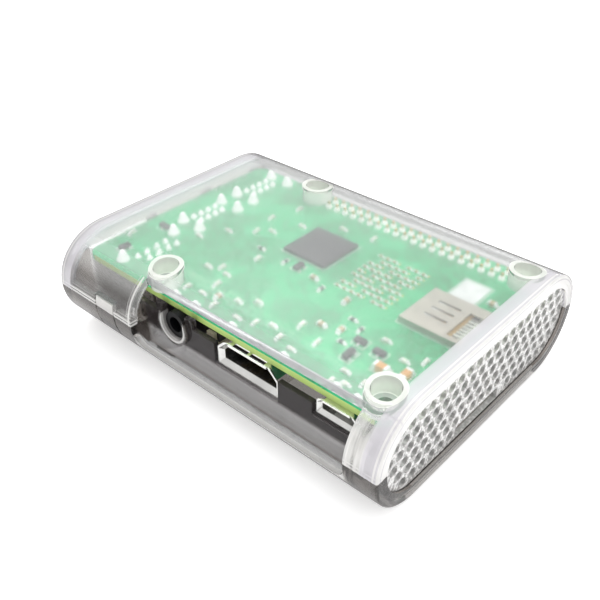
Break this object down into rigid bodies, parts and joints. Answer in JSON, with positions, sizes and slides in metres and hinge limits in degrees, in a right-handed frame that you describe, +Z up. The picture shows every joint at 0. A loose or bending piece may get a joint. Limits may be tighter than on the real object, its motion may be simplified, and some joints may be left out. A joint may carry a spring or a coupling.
{
  "type": "single board computer in a clear case",
  "caption": "Small single board computer closed in a rounded clear plastic case, lying on its lid, with a vented end, a long front cut-out for sockets and hollow screw bosses.",
  "frame": {"origin": "centre of the lid's flat outer face, on the surface that the case rests on", "axes": "+X along the case towards the storage-card end and its vent grille, +Y towards the pin-header side, +Z up from the lid to the base"},
  "size_m": [0.0914, 0.071, 0.0245],
  "materials": {
    "clear_base": "frosted clear plastic with polished rims",
    "clear_lid": "polished clear plastic",
    "clear_grille": "clear plastic",
    "board_green": "green lacquered board",
    "black_plastic": "moulded",
    "jack_black": "moulded",
    "white_plastic": "moulded",
    "cream_plastic": "moulded",
    "yellow_plastic": "moulded",
    "gold": "gold plated",
    "solder": "bright solder",
    "socket_steel": "tinned sheet",
    "card_steel": "sheet metal",
    "chip_black": "moulded package",
    "grey_ferrite": "ferrite",
    "fuse_green": "coated",
    "light_lens": "translucent lens",
    "pale_ceramic": "ceramic",
    "tan_ceramic": "ceramic",
    "orange_case": "moulded case",
    "paper": "paper"
  },
  "bodies": {
    "lid": {"case_lid": "clear_lid", "end_grille": "clear_grille"},
    "latch_front": {"latch_front": "clear_lid"},
    "latch_back": {"latch_back": "clear_lid"},
    "board": {"circuit_board": "board_green", "header_housing": "black_plastic", "header_pins": "gold", "header_solder": "solder", "port_solder": "solder", "front_solder": "solder", "hdmi_shell": "socket_steel", "hdmi_insulator": "black_plastic", "hdmi_contacts": "gold", "power_shell": "socket_steel", "power_tongue": "black_plastic", "jack_body": "jack_black", "jack_contact": "gold", "net_shield": "socket_steel", "net_insert": "black_plastic", "net_contacts": "gold", "net_lights": "light_lens", "usb_1_shell": "socket_steel", "usb_1_tongues": "white_plastic", "usb_1_contacts": "gold", "usb_2_shell": "socket_steel", "usb_2_tongues": "white_plastic", "usb_2_contacts": "gold", "camera_socket": "black_plastic", "display_socket": "black_plastic", "processor": "chip_black", "usb_controller": "chip_black", "power_controller": "chip_black", "memory_chip": "chip_black", "card_shell": "card_steel", "card_frame": "yellow_plastic", "card_contacts": "gold", "inductors": "grey_ferrite", "input_fuse": "fuse_green", "crystals": "socket_steel", "status_lights": "light_lens", "chip_antenna": "pale_ceramic", "pale_capacitors": "pale_ceramic", "tan_capacitors": "tan_ceramic", "orange_tantalums": "orange_case", "dark_transistors": "chip_black", "dark_resistors": "chip_black", "processor_field": "tan_ceramic", "paper_label": "paper"},
    "base": {"case_base": "clear_base"},
    "camera_latch": {"camera_latch": "cream_plastic"},
    "display_latch": {"display_latch": "cream_plastic"}
  },
  "joints": [
    {"name": "board_lift", "type": "slide", "parent": "lid", "child": "board", "axis": [0, 0, 1], "range_m": [0, 0.03]},
    {"name": "base_lift", "type": "slide", "parent": "board", "child": "base", "axis": [0, 0, 1], "range_m": [0, 0.03]},
    {"name": "latch_front_flex", "type": "hinge", "parent": "lid", "child": "latch_front", "pos_m": [-0.02925, -0.03215, 0.007], "axis": [-1, 0, 0], "range_deg": [0, 5], "stiffness_Nm_per_rad": 0.3},
    {"name": "latch_back_flex", "type": "hinge", "parent": "lid", "child": "latch_back", "pos_m": [-0.02925, 0.03215, 0.007], "axis": [1, 0, 0], "range_deg": [0, 5], "stiffness_Nm_per_rad": 0.3},
    {"name": "camera_latch_slide", "type": "slide", "parent": "board", "child": "camera_latch", "axis": [0, 0, -1], "range_m": [0, 0.0012]},
    {"name": "display_latch_slide", "type": "slide", "parent": "board", "child": "display_latch", "axis": [0, 0, -1], "range_m": [0, 0.0012]}
  ]
}
